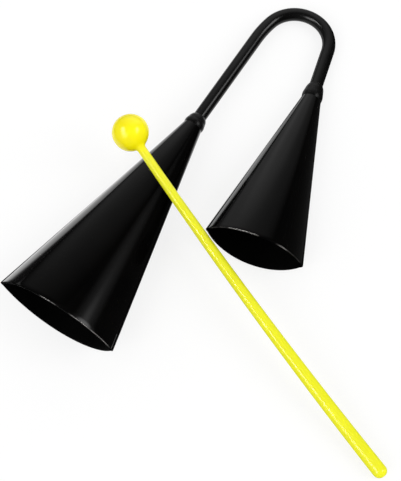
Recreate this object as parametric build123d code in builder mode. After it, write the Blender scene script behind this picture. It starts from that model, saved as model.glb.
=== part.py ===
from build123d import *
from collections import namedtuple
from math import cos, hypot, radians, sin, sqrt
import os

os.makedirs("parts", exist_ok=True)

# Handle: one solid steel rod bent to a U (millimetres and degrees throughout)
rod_diameter = 8.0
lead_radius = 68.0  # the long leg eases into the bend; all radii are to the centre line
lead_turn = 12.2
bend_radius = 20.4
bend_turn = 166.0  # from leg to leg, the easing included
long_leg = 71.55  # start of the easing to the neck of the large bell
short_leg = 35.05  # end of the bend to the neck of the small bell
rod_insert = 16.0  # length of rod inside each neck

# Bells: each one two pressed sheet halves welded along both sides
sheet = 1.2
neck_wall = 1.95  # the sheet is gathered thicker where it closes round the rod
neck_fit = 0.05  # gap between the rod and the bore of the neck
seam_width = 4.0
seam_nose = 1.3  # how far the rounded seam stands out sideways

large_length = 140.8
large_width = 76.0
large_depth = 48.0
large_bow = 0.8  # how far the middle of the rim stands out past its corners

small_length = 106.2
small_width = 59.0
small_depth = 38.0
small_bow = 1.7
small_turn = 1.5  # the small bell leans towards the large one
small_lift = 3.5  # its mouth lies above the plane of the handle
small_roll = 7.5  # and its inner corner is turned up

# Welds that hold the necks to the rod
weld_length = 8.0
weld_shoulder_height = 4.4
weld_shoulder_inset = 0.6  # how far in the round shoulder is at that height
weld_root = 2.0  # stock below the end of the neck, cut off there

# Mallet: one moulding, a ball on a tapered and slightly bowed stick
ball_diameter = 21.5
ball_fillet = 3.0
stick_thin = 5.2  # at the centre of the ball
stick_thick = 8.0  # at the grip end
stick_bow = 2.4
grip_rounding = 3.6
mallet_length = 238.0  # ball centre to the tip of the grip end
mallet_bearing = 113.2  # clockwise from the long leg, seen from above
corner_reach = 71.0  # ball centre to the corner of the small bell that the stick passes
corner_gap = 0.5
rest_gap = 0.4  # between the stick and the large bell

rod_radius = rod_diameter / 2
neck_radius = rod_radius + neck_fit + neck_wall
seam_half = seam_width / 2
up = Vector(0, 0, 1)
settling_rounds = 8

# A bell, and one section of it: half width at the seam's edge and at its nose, half depth at the top
Bell = namedtuple("Bell", "plane length width depth bow")
Section = namedtuple("Section", "station edge nose top wall")

# Bells in the handle's own frame; from the neck, x runs across, y through and z to the mouth
lead_end = Vector(lead_radius * (1 - cos(radians(lead_turn))), lead_radius * sin(radians(lead_turn)), 0)
bend_centre = lead_end + Vector(cos(radians(lead_turn)), -sin(radians(lead_turn)), 0) * bend_radius
bend_end = bend_centre + Vector(-cos(radians(bend_turn)), sin(radians(bend_turn)), 0) * bend_radius
leg_way = Vector(sin(radians(bend_turn)), cos(radians(bend_turn)), 0)
long_leg_end = Plane((0, -long_leg, 0), x_dir=(1, 0, 0), z_dir=(0, -1, 0))
short_leg_end = Plane(bend_end + leg_way * short_leg, x_dir=up.cross(leg_way), z_dir=leg_way)
small_lean = Rotation(-small_lift, -small_turn, -small_roll)
large_bell = Bell(long_leg_end, large_length, large_width, large_depth, large_bow)
small_bell = Bell(
    Plane(short_leg_end.location * small_lean), small_length, small_width, small_depth, small_bow
)


def face_radius(edge, top):
    """Radius of the arc over one pressed half, from seam to seam."""
    rise = top - seam_half
    return (edge ** 2 + rise ** 2) / (2 * rise)


def rim_touch(bell, normal):
    """Lowest point of a mouth's underside for a floor with this normal."""
    radius = face_radius(bell.width / 2 - seam_nose, bell.depth / 2)
    across = bell.plane.x_dir.dot(normal)
    through = bell.plane.y_dir.dot(normal)
    share = radius / hypot(across, through)
    low_point = Vector(-share * across, radius - bell.depth / 2 - share * through, bell.length)
    return bell.plane.from_local_coords(low_point)


def bend_touch(normal):
    """Lowest point of the bend's underside for a floor with this normal."""
    downhill = Vector(-normal.X, -normal.Y, 0).normalized()
    return bend_centre + downhill * bend_radius - normal * rod_radius


# The instrument lies on both mouths and the bend; a few rounds settle the floor under them
first_slope = large_depth / 2 / (large_length + long_leg)
floor_normal = Vector(-first_slope, -first_slope, 1).normalized()
for settling in range(settling_rounds):
    large_touch = rim_touch(large_bell, floor_normal)
    small_touch = rim_touch(small_bell, floor_normal)
    rod_touch = bend_touch(floor_normal)
    floor_normal = (small_touch - large_touch).cross(rod_touch - large_touch).normalized()

# From here on everything stands on that floor, the long leg along y seen from above
floor = Plane(rod_touch, x_dir=Vector(0, 1, 0).cross(floor_normal), z_dir=floor_normal)
handle_place = floor.location.inverse()
handle_plane = Plane(handle_place)
long_leg_end = Plane(handle_place * long_leg_end.location)
short_leg_end = Plane(handle_place * short_leg_end.location)
large_bell = large_bell._replace(plane=Plane(handle_place * large_bell.plane.location))
small_bell = small_bell._replace(plane=Plane(handle_place * small_bell.plane.location))


def bell_sections(bell):
    """The two ends of a bell, its round neck and its lens-shaped mouth."""
    neck_edge = sqrt(neck_radius ** 2 - seam_half ** 2)
    neck = Section(0, neck_edge, neck_radius, neck_radius, neck_wall)
    mouth = Section(bell.length, bell.width / 2 - seam_nose, bell.width / 2, bell.depth / 2, sheet)
    return neck, mouth


def inner_edge(cut):
    """Half width of the inside of a pressed half where it meets the seam."""
    radius = face_radius(cut.edge, cut.top)
    return sqrt((radius - cut.wall) ** 2 - (radius - cut.top + seam_half) ** 2)


def trim_rim(bell):
    """Trim the rim to an arc whose middle stands out past the corners."""
    radius = (bell.width ** 2 / 4 + bell.bow ** 2) / (2 * bell.bow)
    with Locations(bell.plane.offset(bell.length - radius).location):
        Cylinder(radius, 2 * bell.depth, rotation=(90, 0, 0), mode=Mode.INTERSECT)


def pressed_half(bell, face):
    """One pressed half, on the front (face 1) or the back (face -1) of the bell."""
    seam_line = face * seam_half
    with BuildPart() as half:
        for cut in bell_sections(bell):
            inner = inner_edge(cut)
            with BuildSketch(bell.plane.offset(cut.station)):
                with BuildLine():
                    ThreePointArc((-cut.edge, seam_line), (0, face * cut.top), (cut.edge, seam_line))
                    Line((cut.edge, seam_line), (inner, seam_line))
                    ThreePointArc((inner, seam_line), (0, face * (cut.top - cut.wall)), (-inner, seam_line))
                    Line((-inner, seam_line), (-cut.edge, seam_line))
                make_face()
        loft(ruled=True)
        trim_rim(bell)
    return half


def side_seam(bell, side):
    """The ground weld along one side: 1 towards plus x of the bell, -1 towards minus x."""
    with BuildPart() as seam:
        for cut in bell_sections(bell):
            outer = side * cut.edge
            inner = side * inner_edge(cut)
            nose = side * cut.nose
            hollow = side * (cut.nose - cut.wall)
            with BuildSketch(bell.plane.offset(cut.station)):
                with BuildLine():
                    ThreePointArc((outer, seam_half), (nose, 0), (outer, -seam_half))
                    Line((outer, -seam_half), (inner, -seam_half))
                    ThreePointArc((inner, -seam_half), (hollow, 0), (inner, seam_half))
                    Line((inner, seam_half), (outer, seam_half))
                make_face()
        loft(ruled=True)
        trim_rim(bell)
    return seam


def neck_weld(leg_end, bell):
    """Round-shouldered weld about the rod, standing on the end of the neck."""
    with BuildPart() as weld:
        with BuildSketch(Plane(leg_end.origin, x_dir=leg_end.x_dir, z_dir=leg_end.y_dir)):
            with BuildLine():
                Line((rod_radius, weld_length), (rod_radius, -weld_root))
                Line((rod_radius, -weld_root), (neck_radius, -weld_root))
                Line((neck_radius, -weld_root), (neck_radius, 0))
                Spline(
                    (neck_radius, 0),
                    (neck_radius - weld_shoulder_inset, weld_shoulder_height),
                    (rod_radius, weld_length),
                    tangents=((0, 1), (-1, 1)),
                )
            make_face()
        revolve(axis=Axis(leg_end.origin, leg_end.z_dir))
        split(bisect_by=bell.plane, keep=Keep.BOTTOM)
    return weld


# Handle rod, swept along its bent centre line
with BuildPart() as handle_rod:
    with BuildLine(handle_plane) as centre_line:
        long_run = Line((0, -long_leg - rod_insert), (0, 0))
        lead = JernArc(long_run @ 1, long_run % 1, lead_radius, -lead_turn)
        bend = JernArc(lead @ 1, lead % 1, bend_radius, lead_turn - bend_turn)
        Line(bend @ 1, (bend @ 1) + (bend % 1) * (short_leg + rod_insert))
    with BuildSketch(centre_line.line ^ 0):
        Circle(rod_radius)
    sweep()

# Bells; the outer side of the large bell is minus x, that of the small bell plus x
large_bell_front_shell = pressed_half(large_bell, 1)
large_bell_back_shell = pressed_half(large_bell, -1)
large_bell_outer_seam = side_seam(large_bell, -1)
large_bell_inner_seam = side_seam(large_bell, 1)
large_bell_neck_weld = neck_weld(long_leg_end, large_bell)
small_bell_front_shell = pressed_half(small_bell, 1)
small_bell_back_shell = pressed_half(small_bell, -1)
small_bell_outer_seam = side_seam(small_bell, 1)
small_bell_inner_seam = side_seam(small_bell, -1)
small_bell_neck_weld = neck_weld(short_leg_end, small_bell)

# The mallet lies on the large bell, beside the inner corner of the small bell, its grip end on the floor
along = Vector(sin(radians(mallet_bearing)), cos(radians(mallet_bearing)), 0)
aside = along.cross(up)


def stick_radius(reach):
    """Radius of the stick at this distance from the ball's centre."""
    return (stick_thin + (stick_thick - stick_thin) * reach / mallet_length) / 2


def bow_at(reach):
    """How far the bowed stick stands aside from a straight one at this distance from the ball's centre."""
    share = reach / mallet_length
    return 4 * stick_bow * share * (1 - share)


corner = small_bell.plane.from_local_coords(Vector(-small_width / 2, 0, small_length - small_bow))
corner_offset = stick_radius(corner_reach) + corner_gap - bow_at(corner_reach)
ball_plan = corner + aside * corner_offset - along * corner_reach

# Top line of the large bell, and the stick's run along and across it seen from above
ridge_start = large_bell.plane.from_local_coords(Vector(0, neck_radius, 0))
ridge = large_bell.plane.from_local_coords(Vector(0, large_depth / 2, large_length)) - ridge_start
ridge_run = Vector(ridge.X, ridge.Y, 0)
ridge_slope = ridge.Z / ridge_run.length
lengthways = along.dot(ridge_run.normalized())
crossways = along.cross(ridge_run.normalized()).Z

# The stick crosses that line, touches a little beside it where the bell is round, and falls to the floor
grip_reach = mallet_length - grip_rounding
crossing = corner_reach / 2
fall = 0
for settling in range(settling_rounds):
    abeam = ball_plan + aside * bow_at(crossing)
    crossing = (ridge_start - abeam).cross(ridge).Z / along.cross(ridge).Z
    ridge_share = (abeam - ridge_start).cross(along).Z / ridge.cross(along).Z
    half_width = neck_radius + (large_width / 2 - neck_radius) * ridge_share
    top = neck_radius + (large_depth / 2 - neck_radius) * ridge_share
    lean = fall + ridge_slope * lengthways
    beside = lean ** 2 * face_radius(half_width, top) / (2 * crossways ** 2)
    stick_depth = stick_radius(crossing) * hypot(1, ridge_slope * crossways)
    rest_height = (ridge_start + ridge * ridge_share).Z + beside + stick_depth + rest_gap
    fall = (rest_height - stick_radius(grip_reach)) / (grip_reach - crossing)
ball_centre = Vector(ball_plan.X, ball_plan.Y, rest_height + fall * crossing)
stick_way = along * sqrt(1 - fall ** 2) - up * fall
mallet_plane = Plane(ball_centre, x_dir=stick_way, z_dir=stick_way.cross(aside))

stick_sections = 6
with BuildPart() as mallet:
    with BuildLine(mallet_plane) as stick_line:
        ThreePointArc((0, 0), (mallet_length / 2, stick_bow), (mallet_length, 0))
    for section in range(stick_sections + 1):
        share = section / stick_sections
        with BuildSketch(Plane(stick_line.line ^ share)):
            Circle(stick_radius(share * mallet_length))
    loft()
    stick_ends = mallet.edges().filter_by(lambda edge: edge.is_closed)
    fillet(stick_ends.sort_by_distance(stick_line.line @ 1)[0], grip_rounding)
    with Locations(ball_centre):
        Sphere(ball_diameter / 2)
    neck_rings = mallet.edges().filter_by(lambda edge: edge.is_closed)
    fillet(neck_rings.sort_by_distance(ball_centre)[0], ball_fillet)

# The origin sits on the floor under the middle of everything
pieces = {
    "handle_rod": handle_rod,
    "large_bell_front_shell": large_bell_front_shell,
    "large_bell_back_shell": large_bell_back_shell,
    "large_bell_outer_seam": large_bell_outer_seam,
    "large_bell_inner_seam": large_bell_inner_seam,
    "large_bell_neck_weld": large_bell_neck_weld,
    "small_bell_front_shell": small_bell_front_shell,
    "small_bell_back_shell": small_bell_back_shell,
    "small_bell_outer_seam": small_bell_outer_seam,
    "small_bell_inner_seam": small_bell_inner_seam,
    "small_bell_neck_weld": small_bell_neck_weld,
    "mallet": mallet,
}
extent = Compound([piece.part for piece in pieces.values()]).bounding_box()
to_origin = Location((-extent.center().X, -extent.center().Y, -extent.min.Z))
for label, piece in pieces.items():
    piece.part.move(to_origin)
    piece.part.label = label
    export_step(piece.part, f"parts/{label}.step")
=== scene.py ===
from collections import namedtuple
from math import cos, pi, radians, sin

import bmesh
import bpy
import numpy as np
from mathutils import Matrix, Vector, noise


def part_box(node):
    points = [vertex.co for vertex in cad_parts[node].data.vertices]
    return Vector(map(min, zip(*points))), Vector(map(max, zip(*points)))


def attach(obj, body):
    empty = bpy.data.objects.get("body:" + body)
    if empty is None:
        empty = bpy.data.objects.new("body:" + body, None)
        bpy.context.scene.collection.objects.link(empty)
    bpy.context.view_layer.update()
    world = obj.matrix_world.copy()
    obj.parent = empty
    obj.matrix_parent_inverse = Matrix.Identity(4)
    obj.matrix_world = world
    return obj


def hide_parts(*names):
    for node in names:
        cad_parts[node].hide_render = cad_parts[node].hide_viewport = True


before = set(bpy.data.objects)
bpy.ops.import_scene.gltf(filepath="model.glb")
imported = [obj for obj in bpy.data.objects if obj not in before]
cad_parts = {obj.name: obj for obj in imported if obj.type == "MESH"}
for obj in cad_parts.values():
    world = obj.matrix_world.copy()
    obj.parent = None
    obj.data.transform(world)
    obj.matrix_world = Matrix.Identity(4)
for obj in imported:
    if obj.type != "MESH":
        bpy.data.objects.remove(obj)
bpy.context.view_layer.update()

# Sheet of the bells, in metres
sheet = 0.0012
neck_wall = 0.00195
lip_rounding = 0.00045
dent_depth = 0.00012
dent_spacing = 0.03
grinding_depth = 0.00006
grinding_spacing = 0.003

# Stretches of the front rims, from and to a share of the half width, with how far the paint has worn off
worn_rims = {
    "large_bell": ((-0.16, 0.09, 0.8), (0.28, 0.97, 0.9)),
    "small_bell": ((-0.95, -0.5, 0.12), (-0.55, 0.0, 0.8), (0.3, 0.57, 0.8), (0.52, 0.95, 0.08)),
}
worn_fade = 0.06

# Small worn spots on the other rims, where noise times the gain rises above the cut
worn_spot_spacing = 0.006
worn_spot_gain = 2
worn_spot_cut = 1.2

# Handle rod
rod_radius = 0.004
rod_insert = 0.016
rod_chamfer = 0.0006
long_leg = 0.07155
lead_radius = 0.068
lead_turn = radians(12.2)
bend_radius = 0.0204
bend_turn = radians(166)
short_leg = 0.03505
bend_flattening = 0.015

# Neck welds
weld_lengths = {"large_bell": 0.008, "small_bell": 0.0105}
weld_fullness = 4
weld_overlap = 0.0003
weld_bulge = 0.00034
weld_bulge_share = 0.5
weld_ripple = 0.0002
weld_ripple_spacing = 0.0022

# Mallet; the parting line leaves out the ball's pole, up to a share of the ball's radius
ball_radius = 0.01075
ball_fillet = 0.003
stick_thin_radius = 0.0026
stick_thick_radius = 0.004
stick_bow = 0.0024
grip_rounding = 0.0036
parting_height = 0.00007
parting_start = 0.2
moulding_shrink = 0.00004
gate_depth = 0.0003
gate_share = 0.6

# Distances from the ball's middle up to which the mallet counts as thick, and from which as thin
thick_until = 0.0105
thin_from = 0.02

# Mesh counts and limits
shell_columns = 49
seam_columns = 9
bell_rows = 64
lip_steps = 4
rim_rounds = 4
rod_sides = 48
rod_step = 0.0015
weld_columns = 72
weld_rows = 20
mallet_sides = 64
ball_steps = 40
ball_pole_turn = 0.06
fillet_steps = 12
stick_steps = 90
grip_steps = 14
sharp_angle = radians(35)
same_place = 1e-5

# Unevenness of the materials, in hills per metre, and the range that most of the noise stays in
cloud_hills = 45.0
gloss_hills = 160.0
worn_patch_hills = 500.0
flow_hills = 90.0
plastic_gloss_hills = 240.0
plastic_grain_hills = 600.0
paper_hills = 20.0
noise_detail = 3.0
noise_low = 0.3
noise_high = 0.7
grain_depth = 0.0002

# Coat and bare steel of the bells; the steel shows in patches, stops being (noise, share of steel)
lacquer_index = 1.2
lacquer_roughness = 0.08
steel_colour = (0.32, 0.31, 0.3)
steel_stops = ((0.35, 0.25), (0.6, 1.0))

# Mallet plastic, with colours and roughness from and to
ball_colours = ((0.94, 0.8, 0.002), (0.97, 0.84, 0.004))
stick_colours = ((0.78, 0.774, 0.018), (0.81, 0.804, 0.026))
plastic_roughness = (0.2, 0.26)
plastic_grain = 0.04

# Camera at the photograph's viewing angle
camera_aim = Vector((-0.04077, -0.03635, 0.0))
camera_distance = 0.75924
camera_bearing = radians(46.334)
camera_elevation = radians(66.940)
camera_roll = radians(15.397)
camera_focal = 1316.8
image_height = 481
sensor_height = 36.0
picture_turn = Matrix.Rotation(camera_bearing - camera_roll, 4, "Z")

# Light: two wide suns and an even surround
left_lamp_way = Vector((-0.157, -0.749, 0.643))
left_lamp_strength = 0.82
right_lamp_way = Vector((0.716, 0.323, 0.618))
right_lamp_strength = 1.23
lamp_spread = radians(35)
surround_even = 0.7

# What reflections see instead: a dim surround, soft glows round the lamps and along a tall strip, and a panel
surround_left = 0.42
surround_right = 0.04
surround_fade = 0.7
glow_core = radians(3)
lamp_skirt = radians(16.5)
lamp_glow = 8.5
halo_skirt = radians(26)
halo_glow = 1.0
strip_ways = (
    Vector((-0.327, -0.551, 0.767)),
    Vector((-0.445, -0.445, 0.777)),
    Vector((-0.56, -0.32, 0.766)),
)
strip_skirt = radians(8)
strip_glow = 15.0

# Panel, with rings as (scale of the half size, level of light)
panel_place = Vector((-0.135, 0.222, 0.127))
panel_half = (0.4, 0.3)
panel_roundness = 2
panel_steps = (
    (0.2, 0.88), (0.28, 0.72), (0.36, 0.5), (0.48, 0.36),
    (0.62, 0.28), (0.72, 0.19), (0.88, 0.06), (1.0, 0.0),
)
panel_glow = 1.3

# Floor, white; reflections see it grey outside the photograph, by rings as above, and right of the large bell
floor_centre = Vector((0.0, 0.0145, -0.0001))
floor_half = (0.136, 0.157)
floor_roundness = 6
floor_steps = ((0.5, 1.0), (1.0, 1.0), (1.04, 0.8), (1.1, 0.4), (1.18, 0.12), (1.3, 0.0), (40.0, 0.0))
# Right of a line this far beside the large bell's axis, with a soft edge this wide, reflections see the floor
# grey: a painted shadow
painted_shadow_edge = 0.026
painted_shadow_edge_fade = 0.01
# Grey that reflections see outside the rings and in the painted shadow
far_and_painted_shadow_grey = 0.04
floor_white = 0.95
floor_mottle = 0.015
floor_roughness = 0.9
floor_glow = 0.8
patch_sides = 96

scene = bpy.context.scene

Cut = namedtuple("Cut", "edge top nose wall")
Bell = namedtuple("Bell", "name origin axes length bow half neck mouth")


def unit(vector):
    return vector / np.linalg.norm(vector)


def node_points(*names):
    """Corners of CAD nodes, in the shared frame."""
    sets = []
    for name in names:
        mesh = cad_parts[name].data
        flat = np.empty(3 * len(mesh.vertices))
        mesh.vertices.foreach_get("co", flat)
        sets.append(flat.reshape(-1, 3))
    return np.vstack(sets)


def surface_middle(name):
    """Middle of a CAD node's surface, each face weighed by its area."""
    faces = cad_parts[name].data.polygons
    areas = np.empty(len(faces))
    centres = np.empty(3 * len(faces))
    faces.foreach_get("area", areas)
    faces.foreach_get("center", centres)
    return np.average(centres.reshape(-1, 3), axis=0, weights=areas)


def read_bell(name):
    """Place and sizes of a bell from its CAD nodes; its axes run across, through and to the mouth."""
    front, back, outer, inner, weld = (
        surface_middle(f"{name}_{part}")
        for part in ("front_shell", "back_shell", "outer_seam", "inner_seam", "neck_weld")
    )
    middle = (front + back) / 2
    through = unit(front - back)
    along = unit(np.cross(through, outer - inner))
    along *= np.sign(np.dot(along, middle - weld))
    axes = np.array((np.cross(through, along), through, along))
    shells = (node_points(f"{name}_front_shell", f"{name}_back_shell") - middle) @ axes.T
    seams = (node_points(f"{name}_outer_seam", f"{name}_inner_seam") - middle) @ axes.T
    start = shells[:, 2].min()
    length = shells[:, 2].max() - start
    half = abs(seams[:, 1]).max()
    neck_radius = abs(shells[shells[:, 2] < start + same_place, 1]).max()
    neck_edge = (neck_radius ** 2 - half ** 2) ** 0.5
    nose_corner = seams[abs(seams[:, 0]).argmax()]
    edge_corner = shells[abs(shells[:, 0]).argmax()]
    nose = neck_radius + (abs(nose_corner[0]) - neck_radius) * length / (nose_corner[2] - start)
    edge = neck_edge + (abs(edge_corner[0]) - neck_edge) * length / (edge_corner[2] - start)
    return Bell(
        name,
        middle + along * start,
        axes,
        length,
        length - (nose_corner[2] - start),
        half,
        Cut(neck_edge, neck_radius, neck_radius, neck_wall),
        Cut(edge, abs(shells[:, 1]).max(), nose, sheet),
    )


def arc_point(low, high, half, share):
    """Point of the arc through (low, -half), (high, 0) and (low, half); share runs from -1 to 1."""
    rise = high - low
    radius = (half ** 2 + rise ** 2) / (2 * rise)
    angle = share * np.arcsin(half / radius)
    return high - radius + radius * np.cos(angle), radius * np.sin(angle)


def face_point(cut, half, share, inside):
    """Point of a pressed half's section; inside is 0 on the outer skin and 1 on the inner one."""
    rise = cut.top - half
    radius = (cut.edge ** 2 + rise ** 2) / (2 * rise)
    centre = cut.top - radius
    reach = radius - inside * cut.wall
    angle = share * np.arccos((half - centre) / reach)
    return reach * np.sin(angle), centre + reach * np.cos(angle)


def seam_point(cut, half, share, inside):
    """Point of a side seam's section, the seam lying on the plus side."""
    inner_edge = face_point(cut, half, 1.0, 1.0)[0]
    outer_x, outer_y = arc_point(cut.edge, cut.nose, half, share)
    inner_x, inner_y = arc_point(inner_edge, cut.nose - cut.wall, half, share)
    return outer_x + (inner_x - outer_x) * inside, outer_y + (inner_y - outer_y) * inside


def wave(point, spacing):
    """Smooth noise from 0 to 1 with hills about one spacing apart."""
    return 0.5 + 0.5 * noise.noise(Vector(point) / spacing)


def grid_faces(columns, rows, wrap):
    """Faces between columns that are closed rings of vertices; wrap joins the last column to the first."""
    faces = []
    for column in range(columns if wrap else columns - 1):
        near = column * rows
        far = (column + 1) % columns * rows
        for row in range(rows):
            after = (row + 1) % rows
            faces.append((near + row, near + after, far + after, far + row))
    return faces


def strip_cap(first, rows):
    """Faces that close a ring whose second half mirrors its first half."""
    last = first + rows - 1
    return [(first + row, first + row + 1, last - row - 1, last - row) for row in range(rows // 2 - 1)]


def add_piece(name, points, faces, node, body, materials, inner_faces=None):
    """Add a closed mesh that stands for a CAD node; inner_faces marks those that take the second material."""
    mesh = bpy.data.meshes.new(name)
    mesh.from_pydata([tuple(point) for point in points], [], faces)
    for material in materials:
        mesh.materials.append(material)
    if inner_faces is not None:
        mesh.polygons.foreach_set("material_index", np.array(inner_faces, dtype=np.int32))
    shaped = bmesh.new()
    shaped.from_mesh(mesh)
    bmesh.ops.recalc_face_normals(shaped, faces=shaped.faces)
    shaped.to_mesh(mesh)
    shaped.free()
    mesh.polygons.foreach_set("use_smooth", np.ones(len(mesh.polygons), dtype=bool))
    mesh.set_sharp_from_angle(angle=sharp_angle)
    piece = bpy.data.objects.new(name, mesh)
    scene.collection.objects.link(piece)
    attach(piece, body)
    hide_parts(node)
    return piece


def mark(piece, name, values):
    """Give each vertex of a piece a number that its material reads."""
    attribute = piece.data.attributes.new(name, "FLOAT", "POINT")
    attribute.data.foreach_set("value", np.asarray(values, dtype=np.float32))


def rim_share(bell, line, share):
    """Share of a bell's length at which its bowed rim ends a line of the outer skin."""
    neck_x, mouth_x = (line(cut, bell.half, share, 0.0)[0] for cut in (bell.neck, bell.mouth))
    rim_radius = (bell.mouth.nose ** 2 + bell.bow ** 2) / (2 * bell.bow)
    rim = 1.0
    for _ in range(rim_rounds):
        x = neck_x + (mouth_x - neck_x) * rim
        rim = 1 - (rim_radius - (rim_radius ** 2 - x ** 2) ** 0.5) / bell.length
    return rim


def rim_wear(bell, part, share):
    """How far the paint has worn off a bell's rim, from 0 to 1: the known stretches, and spots elsewhere."""
    if part == "front_shell":
        return max(
            wear * min(1.0, max(0.0, min(share - start, stop - share) / worn_fade))
            for start, stop, wear in worn_rims[bell.name]
        )
    spot = (share * bell.mouth.edge, bell.half, bell.length)
    return max(0.0, worn_spot_gain * wave(spot, worn_spot_spacing) - worn_spot_cut)


def shell_hollow(bell, share, along):
    """Depth of the shallow unevenness of a pressed half, none at its borders."""
    window = (1 - share ** 2) * sin(pi * min(1.0, along))
    spot = (share * bell.mouth.edge, along * bell.length, bell.half)
    return dent_depth * window * wave(spot, dent_spacing)


def seam_hollow(bell, share, along):
    """Depth of the ripples that grinding left on a seam, none at its borders."""
    spot = (share * bell.half, along * bell.length, 0)
    return grinding_depth * (1 - share ** 2) * wave(spot, grinding_spacing)


def sheet_column(bell, line, share, mirror, hollow):
    """Ring of points along a sheet: down the outer skin, round the lip and back up the inner skin."""
    turn = np.linspace(0, pi / 2, lip_steps + 1)[1:]
    lip_back = lip_rounding * (1 - np.sin(turn))
    lip_in = lip_rounding * (1 - np.cos(turn))
    rim = rim_share(bell, line, share)
    skin = np.linspace(0, 1, bell_rows) * (rim - lip_rounding / bell.length)
    half_along = np.concatenate((skin, rim - lip_back / bell.length))
    wall = neck_wall + (sheet - neck_wall) * half_along
    half_inside = np.concatenate((np.zeros(bell_rows), lip_in)) / wall
    sunk = np.array([hollow(bell, share, step) for step in half_along]) / wall
    along = np.concatenate((half_along, half_along[::-1]))
    inside = np.concatenate((half_inside + sunk, (1 - half_inside + sunk)[::-1]))
    neck_x, neck_y = line(bell.neck, bell.half, share, inside)
    mouth_x, mouth_y = line(bell.mouth, bell.half, share, inside)
    return np.column_stack((
        mirror[0] * (neck_x + (mouth_x - neck_x) * along),
        mirror[1] * (neck_y + (mouth_y - neck_y) * along),
        along * bell.length,
    ))


def add_sheet(bell, part, line, columns, mirror, hollow, paints):
    """Add a shell half or a seam of a bell as a closed sheet with a rounded lip at the mouth."""
    shares = np.linspace(-1, 1, columns)
    local = [sheet_column(bell, line, share, mirror, hollow) for share in shares]
    points = bell.origin + np.vstack(local) @ bell.axes
    rows = len(local[0])
    faces = grid_faces(columns, rows, False)
    inner = [row >= bell_rows - 1 for _ in range(columns - 1) for row in range(rows)]
    for first in (0, (columns - 1) * rows):
        faces += strip_cap(first, rows)
        inner += [True] * (rows // 2 - 1)
    piece = add_piece(
        f"{bell.name}_{part}_sheet", points, faces, f"{bell.name}_{part}",
        "instrument", paints, inner,
    )
    worn = np.zeros((columns, rows))
    worn[:, bell_rows:bell_rows + lip_steps] = [[rim_wear(bell, part, share)] for share in shares]
    mark(piece, "worn", worn.ravel())


def add_bell(bell, paints):
    """Add the two pressed halves of a bell and the seams on its two sides."""
    for part, side in (("front_shell", 1), ("back_shell", -1)):
        add_sheet(bell, part, face_point, shell_columns, (1, side), shell_hollow, paints)
    outer = np.dot(surface_middle(f"{bell.name}_outer_seam") - bell.origin, bell.axes[0])
    for part, side in (("outer_seam", np.sign(outer)), ("inner_seam", -np.sign(outer))):
        add_sheet(bell, part, seam_point, seam_columns, (side, 1), seam_hollow, paints)


def handle_line(bell):
    """Points, headings and share of bending along the rod, from inside this bell to inside the other one."""
    aside, forward = bell.axes[0], -bell.axes[2]
    legs = (
        (rod_insert + long_leg, None, 0.0),
        (lead_radius * lead_turn, lead_radius, 0.0),
        (bend_radius * (bend_turn - lead_turn), bend_radius, 1.0),
        (short_leg + rod_insert, None, 0.0),
    )
    place = bell.origin - forward * rod_insert
    heading = 0.0
    line = []
    for length, radius, bending in legs:
        steps = max(2, round(length / rod_step))
        start, begin = place, heading
        for step in range(steps + 1):
            gone = length * step / steps
            if radius:
                heading = begin + gone / radius
                place = start + radius * (
                    aside * (cos(begin) - cos(heading)) + forward * (sin(heading) - sin(begin)))
            else:
                place = start + gone * (aside * sin(begin) + forward * cos(begin))
            if step or not line:
                way = aside * sin(heading) + forward * cos(heading)
                line.append((place, way, bending * sin(pi * step / steps)))
    return line


def ring(centre, first, second, across, through, count):
    """Points round a centre, in the plane of two directions."""
    turn = np.linspace(0, 2 * pi, count, endpoint=False)[:, None]
    return centre + across * np.cos(turn) * first + through * np.sin(turn) * second


def closed_tube(rings):
    """Points and faces of a tube whose two ends are closed by a vertex each."""
    count = len(rings[0])
    points = np.vstack(rings + [rings[0].mean(axis=0), rings[-1].mean(axis=0)])
    faces = grid_faces(len(rings), count, False)
    last = (len(rings) - 1) * count
    for side in range(count):
        after = (side + 1) % count
        faces.append((len(points) - 2, after, side))
        faces.append((len(points) - 1, last + side, last + after))
    return points, faces


def add_rod(line, normal, material):
    """Add the handle rod along a line, slightly flattened in its bend and chamfered at its ends."""
    rings = []
    for place, heading, bending in line:
        side = np.cross(normal, heading)
        squeezed = rod_radius * (1 - bend_flattening * bending)
        rings.append(ring(place, normal, side, rod_radius, squeezed, rod_sides))
    for end in (0, -1):
        place, heading, _ = line[end]
        side = np.cross(normal, heading)
        flat = ring(place, normal, side, rod_radius - rod_chamfer, rod_radius - rod_chamfer, rod_sides)
        inward = 1 if end == 0 else -1
        rings[end] = rings[end] + inward * heading * rod_chamfer
        rings.insert(0 if end == 0 else len(rings), flat)
    points, faces = closed_tube(rings)
    add_piece("handle_bar", points, faces, "handle_rod", "instrument", (material,))


def add_weld(bell, outward, material):
    """Add the weld between a bell's neck and the rod, which leaves the bell in the outward direction."""
    first = unit(bell.axes[0] - outward * np.dot(bell.axes[0], outward))
    second = np.cross(outward, first)
    length = weld_lengths[bell.name]
    along = np.linspace(0, 1, weld_rows)
    columns = []
    for turn in np.linspace(0, 2 * pi, weld_columns, endpoint=False):
        spoke = first * cos(turn) + second * sin(turn)
        lean = np.dot(spoke, bell.axes[2]) / np.dot(outward, bell.axes[2])
        profile = []
        for share in along:
            radius = rod_radius + (bell.neck.top - rod_radius) * (1 - share ** weld_fullness)
            radius += weld_bulge * sin(pi * min(1.0, share / weld_bulge_share))
            spot = (rod_radius * cos(turn), rod_radius * sin(turn), bell.length + share * length)
            radius -= weld_ripple * wave(spot, weld_ripple_spacing) * sin(pi * share)
            height = share * length - (1 - share) * lean * radius
            profile.append(bell.origin + spoke * radius + outward * height)
        bore = rod_radius - weld_overlap
        for share in along[::-1]:
            height = share * length - (1 - share) * lean * bore
            profile.append(bell.origin + spoke * bore + outward * height)
        columns.append(np.array(profile))
    faces = grid_faces(weld_columns, 2 * weld_rows, True)
    add_piece(
        f"{bell.name}_collar", np.vstack(columns), faces, f"{bell.name}_neck_weld",
        "instrument", (material,),
    )


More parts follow.
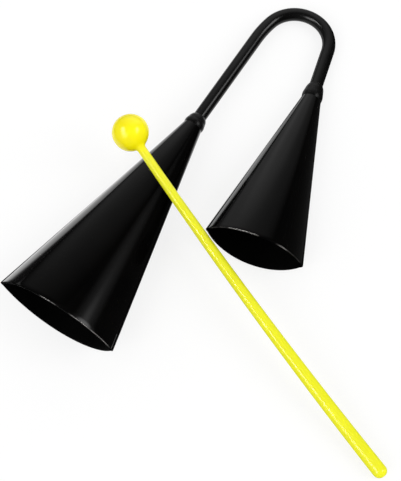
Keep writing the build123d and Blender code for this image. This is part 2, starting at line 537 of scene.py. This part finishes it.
def mallet_profile(length):
    """Distances from the ball's middle along the stick, with the radius at each."""
    reach = ball_radius + ball_fillet
    lift = stick_thin_radius + ball_fillet
    foot = (reach ** 2 - lift ** 2) ** 0.5
    leave = np.arctan2(lift, foot)
    shoulder = length - grip_rounding
    taper = stick_thick_radius - stick_thin_radius
    ball = [
        (-ball_radius * cos(turn), ball_radius * sin(turn))
        for turn in np.linspace(ball_pole_turn, pi - leave, ball_steps)
    ]
    fillet = [
        (foot - ball_fillet * sin(turn), lift - ball_fillet * cos(turn))
        for turn in np.linspace(pi / 2 - leave, 0, fillet_steps)[1:]
    ]
    stick = [
        (foot + (shoulder - foot) * share, stick_thin_radius + taper * share)
        for share in np.linspace(0, 1, stick_steps)[1:]
    ]
    grip = [
        (shoulder + grip_rounding * sin(turn), stick_thick_radius - grip_rounding * (1 - cos(turn)))
        for turn in np.linspace(0, pi / 2, grip_steps)[1:]
    ]
    gate = (length - gate_depth, (stick_thick_radius - grip_rounding) * gate_share)
    return [*ball, *fillet, *stick, *grip, gate]


def add_mallet(material):
    """Add the mallet where its CAD node lies, with a bowed stick, a parting line and a gate mark."""
    low, high = (np.array(corner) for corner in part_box("mallet"))
    ball = np.array((low[0], high[1], high[2])) + ball_radius * np.array((1, -1, -1))
    spokes = node_points("mallet") - ball
    reach = np.linalg.norm(spokes, axis=1)
    length = reach.max()
    way = unit(spokes[reach > length - same_place].mean(axis=0))
    aside = unit(np.cross(way, (0, 0, 1)))
    upward = np.cross(aside, way)
    rings = []
    thickness = []
    for gone, radius in mallet_profile(length):
        share = max(0.0, gone) / length
        bow = stick_bow * (1 - (2 * share - 1) ** 2)
        place = ball + way * gone + aside * bow
        shrunk = radius - moulding_shrink
        band = ring(place, aside, upward, shrunk, shrunk, mallet_sides)
        if ball_radius * parting_start < radius and gone < length - grip_rounding:
            for side in (0, mallet_sides // 2):
                band[side] += unit(band[side] - place) * parting_height
        rings.append(band)
        thickness += [np.interp(gone, (thick_until, thin_from), (1.0, 0.0))] * mallet_sides
    points, faces = closed_tube(rings)
    piece = add_piece("mallet_moulding", points, faces, "mallet", "mallet", (material,))
    mark(piece, "thickness", thickness + [thickness[0], thickness[-1]])
    # The photograph shows next to no reflection of the mallet in the bells
    piece.visible_glossy = False


def new_material(name, **inputs):
    """A Principled material with constant inputs; returns it with its node tree and shader."""
    material = bpy.data.materials.new(name)
    material.use_nodes = True
    shader = material.node_tree.nodes["Principled BSDF"]
    for key, value in inputs.items():
        shader.inputs[key.replace("_", " ")].default_value = value
    return material, material.node_tree, shader


def add_noise(tree, hills):
    """Noise over a piece's own coordinates, with so many hills per metre."""
    place = tree.nodes.new("ShaderNodeTexCoord")
    texture = tree.nodes.new("ShaderNodeTexNoise")
    texture.inputs["Scale"].default_value = hills
    texture.inputs["Detail"].default_value = noise_detail
    tree.links.new(place.outputs["Object"], texture.inputs["Vector"])
    return texture.outputs["Fac"]


def add_ramp(tree, source, stops):
    """Colours over a value; stops are (place, grey or colour)."""
    ramp = tree.nodes.new("ShaderNodeValToRGB")
    for element, (place, colour) in zip(ramp.color_ramp.elements, stops):
        element.position = place
        element.color = (*colour, 1) if isinstance(colour, tuple) else (colour, colour, colour, 1)
    tree.links.new(source, ramp.inputs["Fac"])
    return ramp.outputs["Color"]


def add_clouds(tree, source, low, high):
    """Change from one grey or colour to another over the range of a noise."""
    return add_ramp(tree, source, ((noise_low, low), (noise_high, high)))


def add_bump(tree, shader, source, strength):
    """Fine grain of a surface."""
    bump = tree.nodes.new("ShaderNodeBump")
    bump.inputs["Strength"].default_value = strength
    bump.inputs["Distance"].default_value = grain_depth
    tree.links.new(source, bump.inputs["Height"])
    tree.links.new(bump.outputs["Normal"], shader.inputs["Normal"])


def add_value(tree, operation, first, second):
    """Result of a Math node; second is a number or another output."""
    node = tree.nodes.new("ShaderNodeMath")
    node.operation = operation
    tree.links.new(first, node.inputs[0])
    if isinstance(second, float):
        node.inputs[1].default_value = second
    else:
        tree.links.new(second, node.inputs[1])
    return node.outputs["Value"]


def add_mix(tree, kind, factor, first, second):
    """Blend of two outputs or constants, of kind RGBA or FLOAT."""
    mix = tree.nodes.new("ShaderNodeMix")
    mix.data_type = kind
    tree.links.new(factor, mix.inputs["Factor"])
    for key, value in (("A", first), ("B", second)):
        if isinstance(value, bpy.types.NodeSocket):
            tree.links.new(value, mix.inputs[key])
        else:
            mix.inputs[key].default_value = value
    return mix.outputs["Result"]


def add_mark(tree, name):
    """Number that the mesh carries under this name."""
    node = tree.nodes.new("ShaderNodeAttribute")
    node.attribute_name = name
    return node.outputs["Fac"]


def add_part_along(tree, vector, way):
    """How far a vector reaches along a way."""
    node = tree.nodes.new("ShaderNodeVectorMath")
    node.operation = "DOT_PRODUCT"
    node.inputs[1].default_value = way
    tree.links.new(vector, node.inputs[0])
    return node.outputs["Value"]


def add_slope(tree, source, start, end):
    """Smooth change of a value from one (place, result) to another."""
    slope = tree.nodes.new("ShaderNodeMapRange")
    slope.interpolation_type = "SMOOTHSTEP"
    tree.links.new(source, slope.inputs["Value"])
    for key, value in zip(("From Min", "To Min", "From Max", "To Max"), (*start, *end)):
        slope.inputs[key].default_value = value
    return slope.outputs["Result"]


def enamel(name, dark, light, rough, shine, glancing_shine, grain_hills, grain):
    """Black enamel: cloudy near-black colour, uneven gloss and fine grain; shine is that seen head on."""
    material, tree, shader = new_material(
        name, Specular_Tint=(shine, shine, shine, 1), Specular_IOR_Level=glancing_shine)
    colour = add_clouds(tree, add_noise(tree, cloud_hills), dark, light)
    tree.links.new(colour, shader.inputs["Base Color"])
    roughness = add_clouds(tree, add_noise(tree, gloss_hills), *rough)
    tree.links.new(roughness, shader.inputs["Roughness"])
    add_bump(tree, shader, add_noise(tree, grain_hills), grain)
    return material


def add_lacquer(material):
    """Thin clear coat that shines at glancing angles."""
    shader = material.node_tree.nodes["Principled BSDF"]
    shader.inputs["Coat Weight"].default_value = 1.0
    shader.inputs["Coat IOR"].default_value = lacquer_index
    shader.inputs["Coat Roughness"].default_value = lacquer_roughness


def show_steel(material):
    """Let bare steel show through a paint where its mesh is marked as worn, in fine patches."""
    tree = material.node_tree
    shader = tree.nodes["Principled BSDF"]
    patches = add_ramp(tree, add_noise(tree, worn_patch_hills), steel_stops)
    bare = add_value(tree, "MULTIPLY", add_mark(tree, "worn"), patches)
    painted = shader.inputs["Base Color"].links[0].from_socket
    colour = add_mix(tree, "RGBA", bare, painted, (*steel_colour, 1))
    tree.links.new(colour, shader.inputs["Base Color"])
    tree.links.new(bare, shader.inputs["Metallic"])


def bell_paint():
    """Glossy enamel outside the bells, under a clear coat."""
    material = enamel(
        "bell_paint", dark=0.0006, light=(0.0012, 0.0011, 0.001), rough=(0.1, 0.13),
        shine=0.05, glancing_shine=0.5, grain_hills=900.0, grain=0.03,
    )
    add_lacquer(material)
    show_steel(material)
    return material


def bell_inside():
    """Matt enamel inside the bells and on their lips."""
    material = enamel(
        "bell_inside", dark=0.0005, light=0.001, rough=(0.6, 0.75),
        shine=0.3, glancing_shine=0.05, grain_hills=700.0, grain=0.2,
    )
    show_steel(material)
    return material


def rod_paint():
    """Satin enamel of the handle rod."""
    return enamel(
        "rod_paint", dark=0.0018, light=(0.003, 0.0029, 0.0028), rough=(0.16, 0.2),
        shine=0.7, glancing_shine=0.25, grain_hills=1400.0, grain=0.08,
    )


def weld_paint():
    """Duller enamel over the neck welds."""
    return enamel(
        "weld_paint", dark=0.0018, light=(0.003, 0.0029, 0.0028), rough=(0.28, 0.38),
        shine=0.2, glancing_shine=0.5, grain_hills=1200.0, grain=0.12,
    )


def mallet_plastic():
    """Yellow plastic that light enters, warmer where it is thick, with faint marks of its flow."""
    material, tree, shader = new_material(
        "mallet_plastic", Specular_IOR_Level=0.4,
        Subsurface_Weight=0.6, Subsurface_Scale=0.005, Subsurface_Radius=(1.0, 1.0, 0.3),
    )
    flow = add_noise(tree, flow_hills)
    ball_colour = add_clouds(tree, flow, *ball_colours)
    stick_colour = add_clouds(tree, flow, *stick_colours)
    colour = add_mix(tree, "RGBA", add_mark(tree, "thickness"), stick_colour, ball_colour)
    tree.links.new(colour, shader.inputs["Base Color"])
    roughness = add_clouds(tree, add_noise(tree, plastic_gloss_hills), *plastic_roughness)
    tree.links.new(roughness, shader.inputs["Roughness"])
    add_bump(tree, shader, add_noise(tree, plastic_grain_hills), plastic_grain)
    return material


def add_patch(name, half, roundness, steps, place, material):
    """Add a flat sheet to the stage, of rings with a level each; half is its half size at a scale of 1."""
    points = [(0, 0, 0)]
    levels = [steps[0][1]]
    for scale, level in steps:
        for turn in np.linspace(0, 2 * pi, patch_sides, endpoint=False):
            reach = [side * scale * np.sign(share) * abs(share) ** (2 / roundness)
                     for side, share in zip(half, (cos(turn), sin(turn)))]
            points.append((*reach, 0))
            levels.append(level)
    faces = []
    for side in range(patch_sides):
        after = (side + 1) % patch_sides
        faces.append((0, 1 + side, 1 + after))
        for inner in range(1, (len(steps) - 1) * patch_sides, patch_sides):
            outer = inner + patch_sides
            faces.append((inner + side, outer + side, outer + after, inner + after))
    mesh = bpy.data.meshes.new(name)
    mesh.from_pydata(points, [], faces)
    mesh.materials.append(material)
    patch = bpy.data.objects.new(name, mesh)
    patch.matrix_world = place
    scene.collection.objects.link(patch)
    mark(patch, "level", levels)
    return patch


def add_painted_shadow_side(tree, bell):
    """1 to the left of a line beside a bell's axis and 0 to its right, with a soft edge; 0 is where the
    floor's reflections get a painted shadow.
    """
    place = tree.nodes.new("ShaderNodeNewGeometry").outputs["Position"]
    rightward = add_part_along(tree, place, bell.axes[0])
    edge = np.dot(bell.origin, bell.axes[0]) + painted_shadow_edge
    return add_slope(tree, rightward, (edge + painted_shadow_edge_fade, 0.0), (edge - painted_shadow_edge_fade, 1.0))


def floor_paper(bell):
    """Matt paper, seen mostly as pure white so that shadows stay faint; reflections see its levels, and see
    it grey right of the bell as a painted shadow.
    """
    material, tree, shader = new_material("floor_paper", Roughness=floor_roughness, Specular_IOR_Level=0.0)
    rays = tree.nodes.new("ShaderNodeLightPath").outputs
    # Painted shadow: reflections see the floor grey right of the large bell, as well as outside the rings
    level_outside_painted_shadow = add_value(tree, "MULTIPLY", add_mark(tree, "level"), add_painted_shadow_side(tree, bell))
    level = add_ramp(tree, level_outside_painted_shadow, ((0, far_and_painted_shadow_grey), (1, 1.0)))
    level = add_value(tree, "MAXIMUM", rays["Is Diffuse Ray"], level)
    brightness = add_value(tree, "MAXIMUM", rays["Is Camera Ray"], level)
    mottle = add_clouds(tree, add_noise(tree, paper_hills), floor_white - floor_mottle, floor_white)
    tree.links.new(add_value(tree, "MULTIPLY", brightness, mottle), shader.inputs["Base Color"])
    seen = add_value(tree, "MAXIMUM", rays["Is Camera Ray"], rays["Is Glossy Ray"])
    seen = add_value(tree, "MAXIMUM", seen, rays["Is Transmission Ray"])
    glow = tree.nodes.new("ShaderNodeEmission")
    tree.links.new(brightness, glow.inputs["Strength"])
    both = tree.nodes.new("ShaderNodeMixShader")
    tree.links.new(add_value(tree, "MULTIPLY", seen, floor_glow), both.inputs["Fac"])
    tree.links.new(shader.outputs["BSDF"], both.inputs[1])
    tree.links.new(glow.outputs["Emission"], both.inputs[2])
    tree.links.new(both.outputs["Shader"], tree.nodes["Material Output"].inputs["Surface"])
    material.cycles.emission_sampling = "NONE"
    return material


def add_floor(bell):
    """Add the floor, square to the picture."""
    place = Matrix.Translation(camera_aim) @ picture_turn @ Matrix.Translation(floor_centre)
    add_patch("floor", floor_half, floor_roundness, floor_steps, place, floor_paper(bell))


def facing(way):
    """Turn that points the Z axis along a way."""
    return way.to_track_quat("Z", "Y").to_matrix().to_4x4()


def panel_light():
    """Light of the panel, fading out towards its edge."""
    material, tree, shader = new_material("panel_light")
    tree.nodes.remove(shader)
    glow = tree.nodes.new("ShaderNodeEmission")
    tree.links.new(add_value(tree, "MULTIPLY", add_mark(tree, "level"), panel_glow), glow.inputs["Strength"])
    tree.links.new(glow.outputs["Emission"], tree.nodes["Material Output"].inputs["Surface"])
    return material


def add_panel(bell):
    """Add a panel that faces a bell's neck and shows in reflections alone."""
    place = Matrix.Translation(panel_place) @ facing(panel_place - Vector(bell.origin))
    panel = add_patch("panel", panel_half, panel_roundness, panel_steps, place, panel_light())
    panel.visible_camera = False
    panel.visible_shadow = False
    panel.visible_diffuse = False


def add_lamp(name, way, strength):
    """Add a wide far lamp; reflections show its soft glow in the surround instead."""
    lamp_data = bpy.data.lights.new(name, "SUN")
    lamp_data.angle = lamp_spread
    lamp_data.energy = strength
    lamp = bpy.data.objects.new(name, lamp_data)
    lamp.matrix_world = Matrix.Translation(way) @ facing(way)
    lamp.visible_glossy = False
    scene.collection.objects.link(lamp)


def add_surround():
    """White to the camera; reflections see a dim slope with soft glows, and all else gets an even level."""
    world = bpy.data.worlds.new("surround")
    world.use_nodes = True
    # Sampled as a lamp, the world would mix what reflections see with the even level
    world.cycles.sampling_method = "NONE"
    tree = world.node_tree
    background = tree.nodes["Background"]
    background.inputs["Color"].default_value = (1, 1, 1, 1)
    way = tree.nodes.new("ShaderNodeTexCoord").outputs["Generated"]
    rightward = add_part_along(tree, way, picture_turn @ Vector((1, 0, 0)))
    reflected = add_slope(tree, rightward, (-surround_fade, surround_left), (surround_fade, surround_right))
    glows = [(lamp_way, lamp_skirt, lamp_glow) for lamp_way in (left_lamp_way, right_lamp_way)]
    glows += [(lamp_way, halo_skirt, halo_glow) for lamp_way in (left_lamp_way, right_lamp_way)]
    glows += [(strip_way, strip_skirt, strip_glow) for strip_way in strip_ways]
    for glow_way, skirt, strength in glows:
        nearness = add_part_along(tree, way, glow_way.normalized())
        glow = add_slope(tree, nearness, (cos(skirt), 0.0), (cos(glow_core), strength))
        reflected = add_value(tree, "ADD", reflected, glow)
    rays = tree.nodes.new("ShaderNodeLightPath").outputs
    level = add_mix(tree, "FLOAT", rays["Is Glossy Ray"], surround_even, reflected)
    level = add_value(tree, "MAXIMUM", level, rays["Is Camera Ray"])
    tree.links.new(level, background.inputs["Strength"])
    scene.world = world


def add_camera():
    """Add the camera and look through it."""
    view_out = Vector((
        sin(camera_bearing) * cos(camera_elevation),
        -cos(camera_bearing) * cos(camera_elevation),
        sin(camera_elevation),
    ))
    camera_data = bpy.data.cameras.new("camera")
    camera_data.sensor_fit = "VERTICAL"
    camera_data.sensor_height = sensor_height
    camera_data.lens = camera_focal / image_height * sensor_height
    camera = bpy.data.objects.new("camera", camera_data)
    turn = facing(view_out) @ Matrix.Rotation(-camera_roll, 4, "Z")
    camera.matrix_world = Matrix.Translation(camera_aim + view_out * camera_distance) @ turn
    scene.collection.objects.link(camera)
    scene.camera = camera


# The object
bell_paints = (bell_paint(), bell_inside())
rod_black = rod_paint()
weld_black = weld_paint()
mallet_yellow = mallet_plastic()
large_bell = read_bell("large_bell")
small_bell = read_bell("small_bell")
rod_line = handle_line(large_bell)
add_bell(large_bell, bell_paints)
add_bell(small_bell, bell_paints)
add_rod(rod_line, large_bell.axes[1], rod_black)
add_weld(large_bell, rod_line[0][1], weld_black)
add_weld(small_bell, -rod_line[-1][1], weld_black)
add_mallet(mallet_yellow)

# The stage
add_floor(large_bell)
add_panel(small_bell)
add_lamp("left_lamp", left_lamp_way, left_lamp_strength)
add_lamp("right_lamp", right_lamp_way, right_lamp_strength)
add_surround()
add_camera()
scene.view_settings.view_transform = "Standard"
